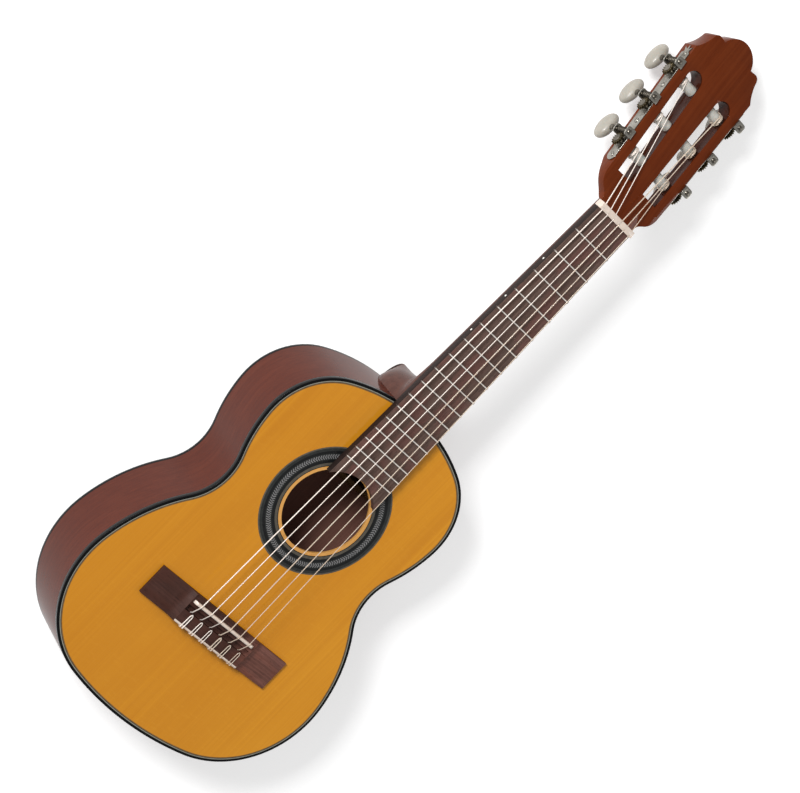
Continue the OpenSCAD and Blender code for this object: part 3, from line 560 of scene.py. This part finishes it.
M = {
    "spruce": spruce(),
    "sides": wood("MahoganySides", "Z", "Y", (0.064, 0.0108, 0.0044), (0.080, 0.0145, 0.0058),
                  (0.098, 0.0195, 0.0080), figure=0.8, line_mm=2.2, pore_share=0.35, coat=0.5,
                  coat_roughness=0.04),
    "plank": wood("MahoganyPlank", "X", "Y", (0.076, 0.0140, 0.0060), (0.098, 0.0195, 0.0082),
                  (0.122, 0.0265, 0.0115), line_mm=1.8, folded=True, pore_share=0.35,
                  inside=((0.230, 0.110, 0.085), 1.2)),
    "neck": wood("MahoganyNeck", "X", "Y", (0.055, 0.0180, 0.0120), (0.076, 0.0270, 0.0185),
                 (0.100, 0.0370, 0.0250), line_mm=1.8, coat=0.5, coat_roughness=0.14,
                 pore_share=0.35),
    # The walls of the head's slots get painted shade
    "head": wood("HeadWood", "X", "Y", (0.092, 0.0150, 0.0025), (0.110, 0.0195, 0.0036),
                 (0.132, 0.0265, 0.0060), line_mm=2.4, tilt=HEAD_TILT, coat=0.5,
                 pore_share=0.25, slots=True),
    "board": wood("RosewoodBoard", "X", "Y", (0.072, 0.0440, 0.0350), (0.108, 0.0690, 0.0560),
                  (0.150, 0.0960, 0.0790), pore=(0.015, 0.010, 0.009), line_mm=1.3,
                  tint=(0.130, 0.0560, 0.0470), pore_share=0.7, coat=0.0, rough=(0.38, 0.60),
                  gloss=0.08, dark_edge=True),
    # The bridge's bass wing gets painted shade
    "bridge": wood("RosewoodBridge", "Y", "X", (0.080, 0.0330, 0.0250), (0.155, 0.0640, 0.0480),
                   (0.230, 0.0960, 0.0730), pore=(0.012, 0.006, 0.005), line_mm=2.6,
                   shade=(0.034, 0.70), pore_share=0.5, coat=0.0, gloss=0.12, rough=(0.45, 0.6),
                   figure=1.2, tint=(0.150, 0.0480, 0.0300)),
    # Bare wood inside the body: its own colour, made darker as painted shade inside the closed box
    "inner": wood("BareWoodInShade", "X", "Y", (0.135, 0.070, 0.030), (0.190, 0.105, 0.048),
                  (0.240, 0.140, 0.068), pore=(0.08, 0.04, 0.02), pore_share=0.3, coat=0.0,
                  rough=(0.6, 0.75), gloss=0.2),
    "lining": wood("LiningWoodInShade", "Z", "Y", (0.135, 0.070, 0.030), (0.190, 0.105, 0.048),
                   (0.240, 0.140, 0.068), pore=(0.08, 0.04, 0.02), pore_share=0.3, coat=0.0,
                   rough=(0.6, 0.75), gloss=0.2),
    "black": plastic("BlackBinding", (0.0025, 0.0026, 0.0028), (0.0050, 0.0050, 0.0052),
                     rough=(0.20, 0.30), coat=0.0, Specular_IOR_Level=0.10),
    "line_dark": plastic("LineDark", (0.0045, 0.0050, 0.0055), (0.0085, 0.0092, 0.0098),
                         rough=(0.2, 0.3), coat=0.0, scale=200, Specular_IOR_Level=0.25),
    "line_grey": plastic("LineGrey", (0.062, 0.055, 0.043), (0.095, 0.084, 0.066),
                         rough=(0.25, 0.35), coat=0.0, scale=260, Specular_IOR_Level=0.25),
    "line_mid": plastic("LineSlate", (0.016, 0.018, 0.017), (0.026, 0.028, 0.027),
                        rough=(0.25, 0.35), coat=0.0, scale=260, Specular_IOR_Level=0.25),
    "line_pale": plastic("LinePale", (0.210, 0.205, 0.165), (0.270, 0.262, 0.215),
                         rough=(0.25, 0.35), coat=0.0, scale=260, Specular_IOR_Level=0.25),
    "line_tile": plastic("LineTile", (0.150, 0.149, 0.150), (0.215, 0.213, 0.213),
                         rough=(0.25, 0.35), coat=0.0, scale=260, Specular_IOR_Level=0.25),
    "line_olive": plastic("LineOlive", (0.130, 0.070, 0.024), (0.190, 0.105, 0.036),
                          rough=(0.25, 0.35), coat=0.0, scale=260, Specular_IOR_Level=0.25),
    "bone": plastic("CreamBone", (0.56, 0.46, 0.385), (0.66, 0.56, 0.485), rough=(0.28, 0.42),
                    scale=160, coat=0.2, subsurface=0.1),
    "nickel": metal("AgedNickel", (0.36, 0.345, 0.310), (0.21, 0.195, 0.165)),
    "steel": metal("DarkSteel", (0.20, 0.18, 0.15), (0.065, 0.056, 0.045), rough=(0.2, 0.42)),
    "brass": metal("TarnishedBrass", (0.110, 0.084, 0.042), (0.035, 0.026, 0.015),
                   rough=(0.28, 0.5)),
    # Painted shade on the flanks of the frets, with a painted highlight along their crowns
    "fret": metal("FretNickelSilver", (0.92, 0.86, 0.80), (0.80, 0.74, 0.67), rough=(0.22, 0.40),
                  wear=0.2, brushed=(260, 1500, 1500), flank_shade=(0.16, 0.125, 0.110), metallic=0.5),
    "roller": plastic("RollerPlastic", (0.40, 0.39, 0.35), (0.50, 0.49, 0.45), rough=(0.25, 0.4),
                      scale=120, subsurface=0.4, coat=0.2),
    "pearl": plastic("PearlButton", (0.27, 0.250, 0.212), (0.36, 0.336, 0.290), rough=(0.34, 0.46),
                     scale=65, subsurface=0.3, coat=0.1),
    "dot": plastic("SideDot", (0.66, 0.64, 0.58), (0.80, 0.78, 0.74), rough=(0.2, 0.3), scale=400),
    "nylon": nylon(),
    "wound": wound(),
}

# ---- CAD nodes that keep their shape

for name, material, slot, bevel in (
        ("soundboard", "spruce", "spruce_top", 0),
        ("back", "plank", "mahogany", 0),
        ("side_bass", "sides", "mahogany", 0),
        ("side_treble", "sides", "mahogany", 0),
        ("binding_top", "black", "black_trim", 0.25),
        ("binding_back", "black", "black_trim", 0.25),
        ("neck_block", "inner", "inner_wood", 0),
        ("tail_block", "inner", "inner_wood", 0),
        ("linings", "lining", "inner_wood", 0),
        ("top_braces", "inner", "inner_wood", 0),
        ("back_braces", "inner", "inner_wood", 0),
        ("bridge", "bridge", "rosewood", 0.4),
        ("saddle", "bone", "bone", 0.3),
        ("tie_strip", "bone", "bone", 0.3),
        ("neck", "neck", "mahogany", 0),
        ("headstock", "head", "head_wood", 0.4),
        ("heel_cap", "board", "rosewood", 0.3),
        ("fingerboard", "board", "rosewood", 0.3),
        ("frets", "fret", "fret_metal", 0),
        ("nut", "bone", "bone", 0.3),
        ("tuner_plates", "nickel", "nickel", 0.2),
        ("tuner_screws", "nickel", "nickel", 0.1)):
    finish_cad(name, M[material], bevel)
for i in range(1, 7):
    finish_cad(f"gear_{i}", M["brass"], 0.15)
    finish_cad(f"worm_{i}", M["steel"], 0)

# ---- Edge purfling: lines that follow the body outline

def body_outline(inset):
    """Closed outline of the body moved inward by inset, from its tangent arcs."""
    spacing = 4.0

    def left_of(h):
        return Vector((-math.sin(h), math.cos(h)))

    def arc(centre, radius, h, sweep):
        n = max(2, math.ceil(abs(radius * sweep) / spacing))
        return [centre - (radius - inset) * left_of(h + sweep * j / n) for j in range(n)]

    heading, half, centre, radius = 0.0, [], None, None
    for r, degrees in BODY_ARCS:
        if centre is None:
            centre = Vector((0, r - TAIL_DIST))
        else:
            centre = centre + (r - radius) * left_of(heading)
        radius, sweep = r, math.radians(degrees)
        half += arc(centre, radius, heading, sweep)
        heading += sweep
    last_r = radius + centre.x / math.sin(heading)
    last_c = centre + (last_r - radius) * left_of(heading)
    half += arc(last_c, last_r, heading, math.pi - heading)
    half.append(Vector((0, last_c.y + last_r - inset)))
    return half + [Vector((-p.x, p.y)) for p in reversed(half[1:-1])]


def flat_band(outer, inner):
    """A closed band let into the soundboard, between outlines with the same number of points."""
    n = len(outer)
    verts = [(p.x, p.y, z) for z in (INLAY_TOP, INLAY_TOP - INLAY_T)
             for line in (outer, inner) for p in line]
    faces = []
    for k in range(n):
        m = (k + 1) % n
        a, b, c, d = k, m, n + m, n + k
        e, f, g, h = a + 2 * n, b + 2 * n, c + 2 * n, d + 2 * n
        faces += [(a, b, c, d), (a, e, f, b), (d, c, g, h), (e, h, g, f)]
    return verts, faces


PURFLING = [("dark", 2.0, 2.5, "line_dark"), ("pale", 2.5, 3.2, "line_pale"),
            ("slate", 3.2, 3.7, "line_mid"), ("olive", 3.7, 4.7, "line_olive")]
for tag, d0, d1, material in PURFLING:
    verts, faces = flat_band(body_outline(d0), body_outline(d1))
    add_piece(f"purfling_{tag}", verts, faces, [M[material]],
              replaces=["purfling"] if tag == "pale" else ())

# ---- Rosette: turned rings and a mosaic band, flush with the soundboard

RINGS = [(61.2, 59.8, "line_grey"), (59.8, 57.2, "line_mid"), (57.2, MOSAIC_R[1], "line_dark"),
         (MOSAIC_R[0], 46.2, "line_dark"), (46.2, 43.7, "line_grey"), (43.7, 43.0, "line_dark")]


def circle(radius, n=192):
    """Points round the soundhole's centre."""
    return [Vector((radius * math.cos(2 * math.pi * k / n),
                    HOLE_Y + radius * math.sin(2 * math.pi * k / n))) for k in range(n)]


ring_verts, ring_faces, ring_material = [], [], []
ring_slots = ["line_dark", "line_grey", "line_mid"]
for r0, r1, material in RINGS:
    verts, faces = flat_band(circle(r0), circle(r1))
    base = len(ring_verts)
    ring_verts += verts
    ring_faces += [tuple(base + v for v in f) for f in faces]
    ring_material += [ring_slots.index(material)] * len(faces)
add_piece("rosette_rings", ring_verts, ring_faces, [M[m] for m in ring_slots],
          face_material=ring_material, replaces=["rosette"])

COLUMNS, ROWS = 600, 7
tile_verts, tile_faces, tile_material = [], [], []
for r in range(ROWS + 1):
    radius = MOSAIC_R[0] + (MOSAIC_R[1] - MOSAIC_R[0]) * r / ROWS
    tile_verts += [(p.x, p.y, INLAY_TOP) for p in circle(radius, COLUMNS)]
for r in range(ROWS):
    for k in range(COLUMNS):
        n = (k + 1) % COLUMNS
        tile_faces.append((r * COLUMNS + k, (r + 1) * COLUMNS + k, (r + 1) * COLUMNS + n,
                           r * COLUMNS + n))
        # Plain border rows, and pale and dark tiles that slant both ways from the middle row
        step = (k + abs(r - ROWS // 2)) % 4
        tile_material.append(0 if r in (0, ROWS - 1) else 1 if step < 2 else 2)
add_piece("rosette_mosaic", tile_verts, tile_faces, [M["line_mid"], M["line_tile"], M["line_dark"]],
          face_material=tile_material)

# ---- Side dots, let into the bass edge of the fingerboard

def board_half(y):
    """Half the fingerboard's width at a place along it."""
    return BOARD_HALF_NUT + (BOARD_HALF_12 - BOARD_HALF_NUT) * (SCALE_LEN - y) / (SCALE_LEN / 2)


taper = math.atan2(BOARD_HALF_12 - BOARD_HALF_NUT, SCALE_LEN / 2)
for tag, y in SIDE_DOTS.items():
    verts, faces = lathe([(-0.6, 1.0), (0.0, 1.0), (0.04, 0.9), (0.05, 0.5)], sides=28)
    place = (SADDLE @ Matrix.Translation((-board_half(y), y, 4.0))
             @ Matrix.Rotation(math.pi - taper, 4, "Z"))
    add_piece(f"side_dot_{tag}", verts, faces, [M["dot"]], matrix=place)

# ---- Strings

def string_x(i, spread):
    """Place of string i across a nut or saddle where the outer strings are spread apart."""
    return spread * (0.5 - (i - 1) / 5)


def winding_x(i, k):
    """Place of turn k along the post, counted inwards from the plate."""
    return -CHEEK_W - 2 - (2 * STRING_R[i] + TURN_GAP) * k


def nut_point(i):
    """Where the string lies on the nut."""
    return Vector((string_x(i, NUT_SPREAD), SCALE_LEN + 0.8, NUT_STRING_Z))


def post_touch(i):
    """Point on the roller where the string arrives as a tangent from the nut, and its angle."""
    p = cheek(string_side(i)).inverted() @ SADDLE @ nut_point(i)
    reach = ROLLER_R + STRING_R[i] + FIT
    dy, dz = p.y - post_y(i), p.z - POST_Z
    a = math.atan2(dz, dy) - math.acos(reach / math.hypot(dy, dz))
    touch = (winding_x(i, TURNS) - 0.03, post_y(i) + reach * math.cos(a),
             POST_Z + reach * math.sin(a))
    return Vector(touch), a


def string_path(i):
    """From the last turn on the roller, over nut and saddle, to the tie at the bridge."""
    x, r = string_x(i, SADDLE_SPREAD), STRING_R[i]
    rear = -BRIDGE_REAR - r - STRING_CLEAR
    top = TIE_TOP + STRIP_PROUD + r + STRING_CLEAR
    start, angle = post_touch(i)
    to_saddle = SADDLE.inverted() @ cheek(string_side(i))
    touch = to_saddle @ start
    # The last turn on the roller stays with the string, so the coil beside it can rotate freely
    reach = ROLLER_R + r + FIT
    wrap = []
    for k in range(WRAP_STEPS, 0, -1):
        a = angle - 2 * math.pi * WRAP_TURNS * k / WRAP_STEPS
        wrap.append(to_saddle @ Vector((start.x, post_y(i) + reach * math.cos(a),
                                        POST_Z + reach * math.sin(a))))
    loop = -TIE_FRONT + 0.4
    run = [touch, nut_point(i), Vector((x, 0, SADDLE_STRING_Z)),
           Vector((x, -TIE_FRONT + 1.4, TIE_TOP - 1.6)), Vector((x, -TIE_FRONT + 0.2, TIE_HOLE_Z)),
           Vector((x, rear, TIE_HOLE_Z)), Vector((x - 0.6, rear, top)),
           Vector((x - 0.2, loop - 2, top)), Vector((x + 1.0, loop, top)),
           Vector((x + LOOP_W, loop - 2, top)), Vector((x + LOOP_W, rear, top)),
           Vector((x + LOOP_W, rear, TIE_TOP - 2.6))]
    return wrap + rounded(run, BEND_REACH)


for i in range(1, 7):
    kind = "wound" if i > 3 else "nylon"
    verts, faces = tube(string_path(i), STRING_R[i], sides=12)
    add_piece(f"strung_{i}", verts, faces, [M[kind]], replaces=[f"string_{i}"])
    # The turns that rotate with the roller: a coil from where the string arrives to the plate
    r = STRING_R[i]
    reach = ROLLER_R + r + COIL_FIT
    start = post_touch(i)[1]
    coil = []
    for k in range(COIL_STEPS + 1):
        t = k / COIL_STEPS
        a = start - 2 * math.pi * COIL_TURNS * t
        x = winding_x(i, TURNS - 1 - COIL_TURNS * t)
        coil.append((x, post_y(i) + reach * math.cos(a), POST_Z + reach * math.sin(a)))
    verts, faces = tube(coil, r, sides=10)
    add_piece(f"coil_{i}", verts, faces, [M[kind]], matrix=cheek(string_side(i)),
              body=f"post_{i}", replaces=[f"winding_{i}"])

# ---- Tuners: rollers, post ends with their screws, and buttons

SLEEVE_SIDES = 56
PLASTIC_RINGS = 3        # of the sleeve's rings of faces; the others are its metal end

for i in range(1, 7):
    place = tuner_frame(i)
    inner = -CHEEK_W - SLOT_W - 7.2
    sleeve = [(inner, ROLLER_R - 0.5), (inner + 0.5, ROLLER_R),
              (-CHEEK_W - SLOT_W / 2, ROLLER_R - 0.05), (-CHEEK_W - 3.4, ROLLER_R),
              (-CHEEK_W - 3.1, ROLLER_R - 0.15), (-1.0, ROLLER_R), (-0.6, ROLLER_R - 0.4),
              (-0.35, ROLLER_R - 0.6)]
    verts, faces = lathe(sleeve, sides=SLEEVE_SIDES)
    metal_rings = [int(k >= PLASTIC_RINGS) for k in range(len(sleeve) - 1)
                   for _ in range(SLEEVE_SIDES)] + [0, 1]
    add_piece(f"sleeve_{i}", verts, faces, [M["roller"], M["nickel"]], matrix=place,
              body=f"post_{i}", face_material=metal_rings,
              replaces=[f"roller_{i}"])
    face = WORM_X + GEAR_T / 2
    post = [(-0.6, POST_R), (face + 0.05, POST_R), (face + 0.1, POST_R + 0.9),
            (face + 0.35, POST_R + 0.85), (face + 0.75, POST_R), (face + 0.8, POST_R - 0.6)]
    verts, faces = lathe(post, sides=40)
    add_piece(f"post_end_{i}", verts, faces, [M["steel"]], matrix=place, body=f"post_{i}")

    # Oval button, which takes the worm shaft in its upper side
    verts, faces = ovoid(BUTTON_HALF, BUTTON_POWERS)
    place = (cheek(string_side(i)) @ Matrix.Translation((WORM_X, post_y(i) + WORM_GAP, BUTTON_Z))
             @ Matrix.Rotation(math.radians(BUTTON_TURN[i]), 4, "Z"))
    add_piece(f"knob_{i}", verts, faces, [M["pearl"]], matrix=place, body=f"tuner_{i}",
              smooth_angle=60, replaces=[f"button_{i}"])

# ---- Floor, light and camera

FLOOR_Z, FLOOR_HALF = -0.0002, 30        # metres, just under the back
CORNERS = ((-1, -1), (1, -1), (1, 1), (-1, 1))
floor_mesh = bpy.data.meshes.new("Floor")
floor_mesh.from_pydata([(x * FLOOR_HALF, y * FLOOR_HALF, FLOOR_Z) for x, y in CORNERS], [],
                       [(0, 1, 2, 3)])
floor = bpy.data.objects.new("Floor", floor_mesh)
bpy.context.scene.collection.objects.link(floor)
paper = Shader("Floor", Roughness=0.9, Specular_IOR_Level=0.0, Emission_Strength=0.38)
paper.put(paper.bsdf.inputs["Emission Color"], (1.0, 1.0, 1.0, 1))
paper.colour(paper.ramp(paper.noise(paper.place((3, 3, 3))), [(0.3, 0.82), (0.7, 0.84)]))
floor_mesh.materials.append(paper.material)

world = bpy.data.worlds.new("Studio")
bpy.context.scene.world = world
world.use_nodes = True
background = world.node_tree.nodes["Background"]
background.inputs["Color"].default_value = (1.0, 1.0, 1.0, 1)
background.inputs["Strength"].default_value = 0.42


def softbox(name, location, size, power):
    """A rectangular lamp that looks at the origin. Place and size are in metres."""
    light = bpy.data.lights.new(name, "AREA")
    light.shape = "RECTANGLE"
    light.size, light.size_y = size
    light.energy = power
    lamp = bpy.data.objects.new(name, light)
    lamp.location = location
    lamp.rotation_euler = (-Vector(location)).to_track_quat("-Z", "Y").to_euler()
    bpy.context.scene.collection.objects.link(lamp)


softbox("Key", (-2.30, 0.35, 1.75), (0.8, 0.8), 92)
softbox("Fill", (2.0, 0.6, 1.1), (1.0, 0.8), 12)

# The camera stands above the bass side and looks down across the strings
CAMERA_AT = Vector((-1294.27, 373.25, 2060.04))        # from the saddle's foot
CAMERA_RIGHT = Vector((0.62990, 0.69598, 0.34472))
CAMERA_BACK = Vector((-0.52322, 0.05224, 0.85059))
camera_data = bpy.data.cameras.new("Camera")
camera_data.sensor_width = 36
camera_data.lens = 127.77
camera_data.clip_start, camera_data.clip_end = 0.05, 100
camera = bpy.data.objects.new("Camera", camera_data)
right, back = CAMERA_RIGHT.normalized(), CAMERA_BACK.normalized()
up = back.cross(right).normalized()
turn = Matrix((right, up, back)).transposed().to_4x4()
camera.matrix_world = Matrix.Translation(SADDLE @ CAMERA_AT) @ turn
bpy.context.scene.collection.objects.link(camera)
bpy.context.scene.camera = camera
bpy.context.scene.view_settings.view_transform = "Standard"

bpy.context.view_layer.update()
